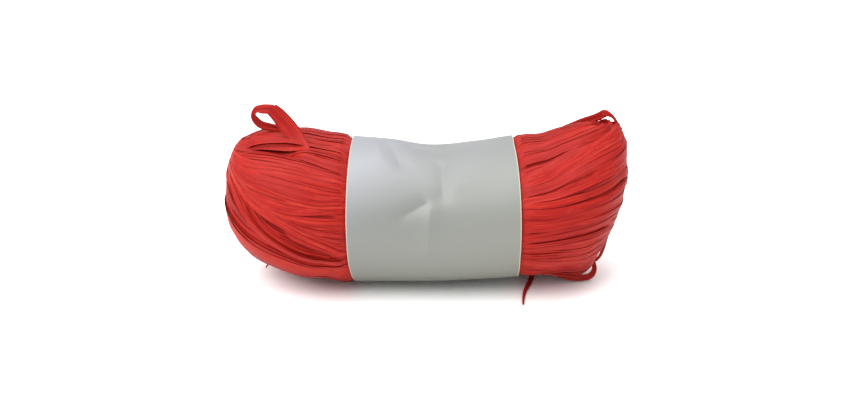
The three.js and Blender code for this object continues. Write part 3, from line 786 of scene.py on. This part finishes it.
def dyed_raffia(settings):
    """Natural raffia, stripped from the palm leaf and dyed through. Its long fibres show as fine
    pale and dark streaks and give a satin shine that runs across the ribbon. Pale lines here and there
    are painted highlights."""
    material, tree = new_material("dyed_natural_raffia")
    tone = add_node(tree, "ShaderNodeAttribute", attribute_name="tone")
    seed = add_node(tree, "ShaderNodeAttribute", attribute_name="seed")
    place = add_node(tree, "ShaderNodeUVMap", uv_map="StrandUV")
    parts = add_node(tree, "ShaderNodeSeparateXYZ", links={0: place.outputs["UV"]})

    def streaks(across_mm, along_mm, detail):
        """Noise drawn out along the ribbon, with marks of that width and length."""
        at = add_node(tree, "ShaderNodeCombineXYZ", links={"Z": seed.outputs["Fac"]})
        for axis, size in (("X", across_mm), ("Y", along_mm)):
            scaled = add_node(tree, "ShaderNodeMath", {1: 1 / size}, {0: parts.outputs[axis]},
                              operation="MULTIPLY")
            tree.links.new(scaled.outputs[0], at.inputs[axis])
        noise = add_node(tree, "ShaderNodeTexNoise", {"Scale": 1.0, "Detail": detail, "Roughness": 0.6},
                         {"Vector": at.outputs[0]})
        return noise.outputs["Fac"]

    # Fibre bundles are about 0.3 mm wide: drawn at 0.6 mm, as fine as the picture can show.
    fibres = streaks(0.6, 26, 3.0)
    folds = streaks(1.6, 9, 1.0)
    crinkles = streaks(3.5, 1.1, 1.0)
    patches = streaks(30, 30, 0.0)
    # Painted highlights: pale lines here and there, where single fibres that lift off would catch the
    # light, drawn at 0.7 mm.
    lines = streaks(0.7, 8, 0.0)

    patch = add_node(tree, "ShaderNodeMapRange", {"From Min": 0.5, "From Max": 0.62}, {"Value": patches})
    # Painted highlights where the noise is high, only inside the crinkled patches
    line = add_node(tree, "ShaderNodeMapRange", {"From Min": 0.62, "From Max": 0.7, "To Max": 0.42},
                    {"Value": lines})
    painted_glint = add_node(tree, "ShaderNodeMath", links={0: line.outputs[0], 1: patch.outputs[0]},
                         operation="MULTIPLY")
    mix = add_node(tree, "ShaderNodeMath", {1: 0.1, 2: 0.5}, {0: tone.outputs["Fac"]},
                   operation="MULTIPLY_ADD")
    fibre_part = add_node(tree, "ShaderNodeMath", {1: 1.3, 2: -0.65}, {0: fibres}, operation="MULTIPLY_ADD")
    fold_part = add_node(tree, "ShaderNodeMath", {1: 0.5, 2: -0.25}, {0: folds}, operation="MULTIPLY_ADD")
    # The fibre and fold tones and the strand's own tone, with the painted highlights added
    shade = fibre_part
    for part in (fold_part, painted_glint, mix):
        shade = add_node(tree, "ShaderNodeMath", links={0: shade.outputs[0], 1: part.outputs[0]},
                         operation="ADD", use_clamp=part is mix)
    ramp = add_node(tree, "ShaderNodeValToRGB", links={"Fac": shade.outputs[0]})
    ramp.color_ramp.elements[0].color = linear(settings.deep)
    ramp.color_ramp.elements[1].color = linear(settings.pale)
    middle = ramp.color_ramp.elements.new(0.5)
    middle.color = linear(settings.red)

    gloss = add_node(tree, "ShaderNodeMath", {1: 0.26, 2: 0.38}, {0: fibres}, operation="MULTIPLY_ADD")
    crinkled = add_node(tree, "ShaderNodeMath", links={0: crinkles, 1: patch.outputs[0]},
                        operation="MULTIPLY")
    relief = fibres
    for part, share in ((crinkled.outputs[0], 1.6), (folds, 1.4)):
        relief = add_node(tree, "ShaderNodeMath", {1: share}, {0: part, 2: relief},
                          operation="MULTIPLY_ADD").outputs[0]
    bump = add_node(tree, "ShaderNodeBump", {"Strength": 0.7, "Distance": 0.00025}, {"Height": relief})
    shader = add_node(
        tree, "ShaderNodeBsdfPrincipled", {"IOR": 1.45, "Specular IOR Level": 0.15},
        {"Base Color": ramp.outputs["Color"], "Roughness": gloss.outputs[0], "Normal": bump.outputs[0]})
    add_node(tree, "ShaderNodeOutputMaterial", links={"Surface": shader.outputs[0]})
    return material


def raffia_material(settings):
    return bpy.data.materials.get("dyed_natural_raffia") or dyed_raffia(settings)


def packed_raffia_painted_shade(settings):
    """The inside of the hank, packed ribbon: a deep, dull red with no shine, darker than the raffia's own
    red as painted shade for the shadow it lies in.
    """
    material, tree = new_material("packed_raffia_painted_shade")
    place = add_node(tree, "ShaderNodeTexCoord")
    grain = add_node(tree, "ShaderNodeTexNoise", {"Scale": 400.0}, {"Vector": place.outputs["Object"]})
    ramp = add_node(tree, "ShaderNodeValToRGB", links={"Fac": grain.outputs["Fac"]})
    ramp.color_ramp.elements[0].color = linear(settings.core_painted_shade_deep)
    ramp.color_ramp.elements[1].color = linear(settings.core_painted_shade_pale)
    shader = add_node(tree, "ShaderNodeBsdfPrincipled", {"Roughness": 0.9, "Specular IOR Level": 0.2},
                      {"Base Color": ramp.outputs["Color"]})
    add_node(tree, "ShaderNodeOutputMaterial", links={"Surface": shader.outputs[0]})
    return material


# The paper's painted light and shade: how much its tone rises per metre of height and toward the
# right, where it starts, how much clouds of painted reflection vary it, and at what tone its own colour
# lies
PAINTED_LIGHT_UP = 15.5
PAINTED_LIGHT_RIGHT = -5.0
PAINTED_LIGHT_START = -0.155
PAINTED_REFLECTION_CLOUDINESS = 0.3
OWN_TONE = 0.62


def coated_paper(settings):
    """Coated paper printed with a silver-grey ink: smooth, with a soft satin sheen. Its colour carries
    painted light and shade: lighter and bluish toward the top, a darker olive grey toward the foot and
    toward the right, with clouds of painted reflection."""
    material, tree = new_material("coated_silver_grey_paper")
    place = add_node(tree, "ShaderNodeTexCoord")
    at = place.outputs["Object"]
    fibre = add_node(tree, "ShaderNodeTexNoise", {"Scale": 900.0, "Detail": 2.0}, {"Vector": at})
    # Clouds of painted reflection that shift the tone lighter and darker
    painted_reflection_cloud = add_node(tree, "ShaderNodeTexNoise", {"Scale": 22.0, "Detail": 1.0}, {"Vector": at})
    parts = add_node(tree, "ShaderNodeSeparateXYZ", links={0: at})
    # Painted light from above and painted shade toward the right: the tone rises with height and falls
    # toward the right
    rise = add_node(tree, "ShaderNodeMath", {1: PAINTED_LIGHT_UP, 2: PAINTED_LIGHT_START}, {0: parts.outputs["Z"]},
                    operation="MULTIPLY_ADD")
    painted_light_and_shade = add_node(tree, "ShaderNodeMath", {1: PAINTED_LIGHT_RIGHT},
                        {0: parts.outputs["X"], 2: rise.outputs[0]}, operation="MULTIPLY_ADD")
    painted_reflection_clouds = add_node(tree, "ShaderNodeMath", {1: PAINTED_REFLECTION_CLOUDINESS, 2: -PAINTED_REFLECTION_CLOUDINESS / 2},
                       {0: painted_reflection_cloud.outputs["Fac"]}, operation="MULTIPLY_ADD")
    tone = add_node(tree, "ShaderNodeMath", links={0: painted_light_and_shade.outputs[0], 1: painted_reflection_clouds.outputs[0]},
                    operation="ADD")
    # The colour runs from painted shade at the foot, through the paper's own grey, to painted light at the
    # top
    ramp = add_node(tree, "ShaderNodeValToRGB", links={"Fac": tone.outputs[0]})
    ramp.color_ramp.elements[0].color = linear(settings.shade)
    ramp.color_ramp.elements[1].color = linear(settings.painted_light_colour)
    middle = ramp.color_ramp.elements.new(OWN_TONE)
    middle.color = linear(settings.grey)
    bump = add_node(tree, "ShaderNodeBump", {"Strength": 0.15, "Distance": 0.00005},
                    {"Height": fibre.outputs["Fac"]})
    shader = add_node(
        tree, "ShaderNodeBsdfPrincipled", {"Metallic": 0.1, "Roughness": 0.48, "Specular IOR Level": 0.4},
        {"Base Color": ramp.outputs["Color"], "Normal": bump.outputs[0]})
    add_node(tree, "ShaderNodeOutputMaterial", links={"Surface": shader.outputs[0]})
    return material


def cut_paper(settings):
    """The paper's cut edge, where the uncoated core shows as a thin cream line."""
    material, tree = new_material("cut_paper_edge")
    shader = add_node(tree, "ShaderNodeBsdfPrincipled",
                      {"Base Color": linear(settings.edge), "Roughness": 0.8})
    add_node(tree, "ShaderNodeOutputMaterial", links={"Surface": shader.outputs[0]})
    return material


def plain_floor(settings):
    """A matt painted board, pale and even, so that only soft shadows show on it."""
    material, tree = new_material("matt_painted_board")
    shader = add_node(tree, "ShaderNodeBsdfPrincipled",
                      {"Base Color": linear(settings.floor), "Roughness": 0.9, "Specular IOR Level": 0.1})
    add_node(tree, "ShaderNodeOutputMaterial", links={"Surface": shader.outputs[0]})
    return material


# Settings that a user would change


def length_prop(name, description, default):
    return bpy.props.FloatProperty(
        name=name, description=description, default=default, unit="LENGTH", precision=5)


def hex_prop(name, description, default):
    return bpy.props.StringProperty(name=name, description=description, default=default)


class HankStageSettings(bpy.types.PropertyGroup):
    distance: length_prop("Camera distance", "From the camera to the point it looks at", 0.45)
    aim: length_prop("Aim height", "Height of the point that the camera looks at", 0.0356)
    elevation: bpy.props.FloatProperty(
        name="Camera elevation", description="Angle of the camera above the horizon",
        default=math.radians(20), subtype="ANGLE")
    lens: bpy.props.FloatProperty(
        name="Lens", description="Focal length in millimetres", default=37.94, subtype="DISTANCE_CAMERA")
    key: bpy.props.FloatProperty(
        name="Key light", description="Strength of the large soft light", default=3.1)
    spread: bpy.props.FloatProperty(
        name="Light softness", description="Angle over which each light spreads",
        default=math.radians(50), subtype="ANGLE")
    room: bpy.props.FloatProperty(
        name="Room light", description="Strength of the even light from all sides", default=0.87)
    floor: hex_prop("Floor colour", "sRGB hex value of the floor", "#fafafa")


class HankRaffiaSettings(bpy.types.PropertyGroup):
    thickness: length_prop("Ribbon thickness", "Thickness of one raffia ribbon", 0.00014)
    fullness: bpy.props.FloatProperty(
        name="Fullness", description="Share of the usual number of ribbons", default=1.0, subtype="FACTOR")
    unevenness: length_prop("Unevenness", "How far ribbons rise and sink along their way", 0.0001)
    roll: bpy.props.FloatProperty(
        name="Roll", description="How far ribbons turn about their own length",
        default=math.radians(6), subtype="ANGLE")
    red: hex_prop("Raffia colour", "sRGB hex value of the dyed raffia", "#941712")
    deep: hex_prop("Dark streaks", "sRGB hex value of the darkest fibres", "#790b07")
    pale: hex_prop("Pale streaks", "sRGB hex value of the palest fibres", "#a92b1d")
    # The inside's colours are painted shade, darker than the raffia's own red
    core_painted_shade_deep: hex_prop("Inside, darkest", "sRGB hex value of the inside at its darkest", "#5a0f0b")
    core_painted_shade_pale: hex_prop("Inside, palest", "sRGB hex value of the inside at its palest", "#6c1611")


class HankBandSettings(bpy.types.PropertyGroup):
    thickness: length_prop("Paper thickness", "Thickness of the paper band", 0.00025)
    lap: length_prop("Lap", "How far the band's ends overlap behind", 0.014)
    # The paper's own colour, then its painted light toward the top and its painted shade toward the foot
    grey: hex_prop("Paper colour", "sRGB hex value of the paper", "#777976")
    painted_light_colour: hex_prop("Paper light", "sRGB hex value of the paper toward its top", "#898b90")
    shade: hex_prop("Paper shade", "sRGB hex value of the paper toward its foot", "#787970")
    edge: hex_prop("Cut edge", "sRGB hex value of the paper's cut edge", "#aaa292")


# Operators, one for each piece or group of like pieces

# The top light's strength as a share of the key light's, and the floor's sides and its rings' radii
# in metres
TOP_LIGHT_SHARE = 0.62
FLOOR_SIDES = 96
FLOOR_RADII = (0.6, 6.0)


class HANK_OT_stage(bpy.types.Operator):
    """Makes the camera, the floor and the lights"""
    bl_idname = "hank.stage"
    bl_label = "Stage"

    def execute(self, context):
        settings = context.scene.hank_stage
        aim = Vector((TO_MIDDLE[0] * MM, 0, settings.aim))
        back = Vector((0, -math.cos(settings.elevation), math.sin(settings.elevation)))
        camera = bpy.data.cameras.new("camera")
        camera.lens = settings.lens
        camera.sensor_width = 36
        camera.clip_start = 0.01
        holder = link(bpy.data.objects.new("camera", camera))
        holder.location = aim + back * settings.distance
        holder.rotation_mode = "QUATERNION"
        holder.rotation_quaternion = (-back).to_track_quat("-Z", "Y")
        context.scene.camera = holder

        floor_sheet(plain_floor(settings))

        for name, place, strength in (
            ("key_light", (-0.5, -0.36, 0.79), settings.key),
            ("top_light", (0.05, 0.2, 0.98), settings.key * TOP_LIGHT_SHARE),
        ):
            light = bpy.data.lights.new(name, "SUN")
            light.energy = strength
            light.angle = settings.spread
            lamp = link(bpy.data.objects.new(name, light))
            lamp.location = place
            lamp.rotation_mode = "QUATERNION"
            lamp.rotation_quaternion = Vector(place).to_track_quat("Z", "Y")

        world = bpy.data.worlds.new("pale_room")
        world.use_nodes = True
        backdrop = world.node_tree.nodes["Background"]
        backdrop.inputs["Color"].default_value = linear("#ffffff")
        backdrop.inputs["Strength"].default_value = settings.room
        context.scene.world = world
        context.scene.view_settings.view_transform = "Standard"
        return {"FINISHED"}


def floor_sheet(material):
    """A round floor far wider than any view of the hank."""
    count = FLOOR_SIDES
    vertices = [(0, 0, 0)]
    for radius in FLOOR_RADII:
        turns = [2 * math.pi * i / count for i in range(count)]
        vertices += [(radius * math.cos(turn), radius * math.sin(turn), 0) for turn in turns]
    pairs = [(1 + i, 1 + (i + 1) % count) for i in range(count)]
    faces = [(0, a, b) for a, b in pairs]
    faces += [(a, a + count, b + count, b) for a, b in pairs]
    mesh = bpy.data.meshes.new("floor")
    mesh.from_pydata(vertices, [], faces)
    mesh.materials.append(material)
    return link(bpy.data.objects.new("floor", mesh))


class HANK_OT_loose_end(bpy.types.Operator):
    """Makes the loose end of ribbon that lies in front of the hank"""
    bl_idname = "hank.loose_end"
    bl_label = "Loose end"

    def execute(self, context):
        settings = context.scene.hank_raffia
        line = spline(LOOSE_END, LOOSE_END_STEPS)
        s = np.linspace(0, 1, len(line))
        out = np.broadcast_to(np.array([0.0, 0.0, 1.0]), line.shape)
        side, up = strip_frames(line, out, LOOSE_END_ROLL * np.sin(LOOSE_END_ROLLS * s))
        wide = LOOSE_END_WIDE * (1 - LOOSE_END_TAPER * smooth(0.25, 1.0, s))
        strip = Strip(
            line, side, up, wide, thick=0.35, cup=0.12, ripple=0.05, phase=0.7, tone=0.4, seed=12.0)
        piece = strips_object("loose_ribbon_end", [strip], settings)
        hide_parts("loose_end")
        return {"FINISHED"}


# The core: its sides, its rings at each end, from and to what travel they lie, its level, how low it
# reaches over the surface and from what height it is pressed flat there
CORE_SIDES = 96
CORE_RINGS = 44
NEAR_FOLD = 0.985
NEAR_MIDDLE = 0.02
CORE_LEVEL = -2.9
CORE_FOOT = 0.5
CORE_PRESSED = 1.6


class HANK_OT_core(bpy.types.Operator):
    """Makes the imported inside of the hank, which shows between the ribbons"""
    bl_idname = "hank.core"
    bl_label = "Packed core"

    def execute(self, context):
        settings = context.scene.hank_raffia
        around = CORE_SIDES
        angle = 2 * math.pi * np.arange(around) / around
        in_front = angle <= math.pi
        down = np.where(in_front, angle, 2 * math.pi - angle)
        rings = []
        for name, first, last in (("left", NEAR_FOLD, NEAR_MIDDLE), ("right", NEAR_MIDDLE, NEAR_FOLD)):
            for travel in np.linspace(first, last, CORE_RINGS):
                at = np.where(in_front, travel, 2 - travel)
                rings.append(lifted_point(name, at, down, np.full(around, CORE_LEVEL)))
        rings = rest_on_floor(np.array(rings), CORE_PRESSED, CORE_FOOT)
        faces = []
        for r in range(len(rings) - 1):
            for i in range(around):
                a, b = r * around + i, r * around + (i + 1) % around
                faces.append((a, b, b + around, a + around))
        for first, right_hand in ((0, False), ((len(rings) - 1) * around, True)):
            for i in range(around // 2):
                front, back = first + i, first + (around - i) % around
                quad = list(dict.fromkeys([front, front + 1, first + around - i - 1, back]))
                faces.append(tuple(quad if right_hand else quad[::-1]))
        mesh = smooth_mesh("packed_core", to_metres(rings.reshape(-1, 3)), faces)
        # The inside takes a darker red than the raffia, as painted shade
        mesh.materials.append(packed_raffia_painted_shade(settings))
        piece = link(bpy.data.objects.new("packed_core", mesh))
        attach(piece, "root")
        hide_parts("hank_body")
        return {"FINISHED"}


def make_end(context, name):
    """The wound ribbons of one end, in pieces that each stay light."""
    settings = context.scene.hank_raffia
    for k, part in enumerate(split(end_strips(name, settings))):
        strips_object(f"ribbons_{name}_{k + 1}", part, settings)
    return {"FINISHED"}


class HANK_OT_left_ribbons(bpy.types.Operator):
    """Makes the wound ribbons of the left end"""
    bl_idname = "hank.left_ribbons"
    bl_label = "Ribbons at the left"

    def execute(self, context):
        return make_end(context, "left")


class HANK_OT_right_ribbons(bpy.types.Operator):
    """Makes the wound ribbons of the right end"""
    bl_idname = "hank.right_ribbons"
    bl_label = "Ribbons at the right"

    def execute(self, context):
        return make_end(context, "right")


def split(strips, most=170):
    """Lists short enough that each piece stays light."""
    return [strips[i:i + most] for i in range(0, len(strips), most)]


class HANK_OT_sprung_folds(bpy.types.Operator):
    """Makes the folds of ribbon that spring clear of the hank"""
    bl_idname = "hank.sprung_folds"
    bl_label = "Sprung folds"

    def execute(self, context):
        settings = context.scene.hank_raffia
        strips_object("sprung_folds", sprung_strips(settings), settings)
        return {"FINISHED"}


# The band's columns between its cut lines and rows round the waist, the angle of its seam behind,
# from and to how many mm beside the seam its outer end climbs onto the inner one and how high, and how
# quickly the slant of its edges fades inward
BAND_COLUMNS = 119
BAND_ROWS = 361
SEAM = -112
LAP_CLIMB = (-3, 1)
LAP_LIFT = 0.45
SLANT_FADE = 4


def wrapped(angle):
    """The same angle, from half a turn back to half a turn forward."""
    return (angle + math.pi) % (2 * math.pi) - math.pi


class HANK_OT_band(bpy.types.Operator):
    """Makes the paper band round the waist, with its lap behind"""
    bl_idname = "hank.band"
    bl_label = "Paper band"

    def execute(self, context):
        settings = context.scene.hank_band
        thick = settings.thickness / MM
        lap = settings.lap / MM
        across = np.linspace(BAND_LEFT + CUT_LINE, BAND_RIGHT - CUT_LINE, BAND_COLUMNS)
        across = np.concatenate([[BAND_LEFT], across, [BAND_RIGHT]])
        seam = SEAM * DEG
        turn = 2 * math.pi + lap / HALF_DEPTH
        around = np.linspace(seam, seam + turn, BAND_ROWS)
        x, angle = np.meshgrid(across, around, indexing="ij")
        left_slant, right_slant = edge_slant(wrapped(angle))
        share = (x - BAND_LEFT) / (BAND_RIGHT - BAND_LEFT)
        x = x + left_slant * (1 - share) ** SLANT_FADE + right_slant * share**SLANT_FADE
        girth = (around - seam) * HALF_DEPTH
        begun, done = (2 * math.pi * HALF_DEPTH + beside for beside in LAP_CLIMB)
        over = smooth(begun, done, girth)[None, :] * LAP_LIFT
        skins = [paper_skin(x, angle, over - depth) for depth in (0.0, thick)]
        rows, columns = x.shape
        vertices = to_metres(np.concatenate([skin.reshape(-1, 3) for skin in skins]))
        index = np.arange(rows * columns).reshape(rows, columns)
        a, b, c, d = index[:-1, :-1], index[:-1, 1:], index[1:, 1:], index[1:, :-1]
        outer = np.stack([a, b, c, d], axis=-1).reshape(-1, 4)
        inner = outer[:, ::-1] + rows * columns
        rim = np.concatenate([index[0, :], index[1:, -1], index[-1, -2::-1], index[-2:0:-1, 0]])
        step = np.roll(rim, -1)
        edge = np.stack([rim, rim + rows * columns, step + rows * columns, step], axis=-1)
        faces = np.concatenate([outer, inner, edge])
        mesh = smooth_mesh("paper_band", vertices, faces.tolist())
        mesh.materials.append(coated_paper(settings))
        mesh.materials.append(cut_paper(settings))
        slots = np.zeros(len(faces), dtype=np.int32)
        slots[len(outer) + len(inner):] = 1
        slots[:columns - 1] = 1
        slots[len(outer) - columns + 1:len(outer)] = 1
        mesh.polygons.foreach_set("material_index", slots)
        on_rim = np.isin(edge_ends(mesh) % (rows * columns), rim).all(axis=1)
        mesh.edges.foreach_set("use_edge_sharp", on_rim)
        piece = link(bpy.data.objects.new("creased_paper_band", mesh))
        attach(piece, "root")
        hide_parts("paper_band")
        return {"FINISHED"}


def paper_skin(x, angle, lift):
    """The paper's surface at x and a signed angle, lifted by some mm."""
    facing = wrapped(angle)
    down = np.abs(facing)
    points = np.empty(x.shape + (3,))
    for name, end in ENDS.items():
        chosen = (x < 0) == (name == "left")
        travel = np.abs(x) / end["shoulder"] * SHOULDER_TRAVEL
        travel = np.where(facing >= 0, travel, 2 - travel)
        travel = np.clip(travel, 0.001, 1.999)
        base = form_point(end, travel, down)
        raised = crease_relief(CREASES, x, facing) + crease_relief(SHARP_CREASES, x, facing, 1) + lift
        lifted = base + form_normal(end, travel, down) * raised[..., None]
        points[chosen] = lifted[chosen]
    return rest_on_floor(points, reach=0.8)


# Sidebar panel and registering


class HANK_PT_sidebar(bpy.types.Panel):
    """Lists the settings and the makers of the hank's pieces"""
    bl_label = "Hank of raffia ribbon"
    bl_idname = "HANK_PT_sidebar"
    bl_space_type = "VIEW_3D"
    bl_region_type = "UI"
    bl_category = "Hank"

    def draw(self, context):
        for group in SETTINGS:
            box = self.layout.box()
            settings = getattr(context.scene, group)
            for name in settings.bl_rna.properties.keys():
                if name not in ("rna_type", "name"):
                    box.prop(settings, name)
        for maker in MAKERS:
            self.layout.operator(maker.bl_idname)


SETTINGS = {
    "hank_stage": HankStageSettings,
    "hank_raffia": HankRaffiaSettings,
    "hank_band": HankBandSettings,
}
MAKERS = [
    HANK_OT_stage, HANK_OT_loose_end, HANK_OT_core, HANK_OT_band,
    HANK_OT_left_ribbons, HANK_OT_right_ribbons, HANK_OT_sprung_folds,
]


def register():
    for kind in [*SETTINGS.values(), *MAKERS, HANK_PT_sidebar]:
        bpy.utils.register_class(kind)
    for name, kind in SETTINGS.items():
        setattr(bpy.types.Scene, name, bpy.props.PointerProperty(type=kind))


def unregister():
    for name in SETTINGS:
        delattr(bpy.types.Scene, name)
    for kind in [HANK_PT_sidebar, *reversed(MAKERS), *SETTINGS.values()]:
        bpy.utils.unregister_class(kind)


def main():
    register()
    for maker in MAKERS:
        group, name = maker.bl_idname.split(".")
        getattr(getattr(bpy.ops, group), name)()


if __name__ == "__main__":
    main()
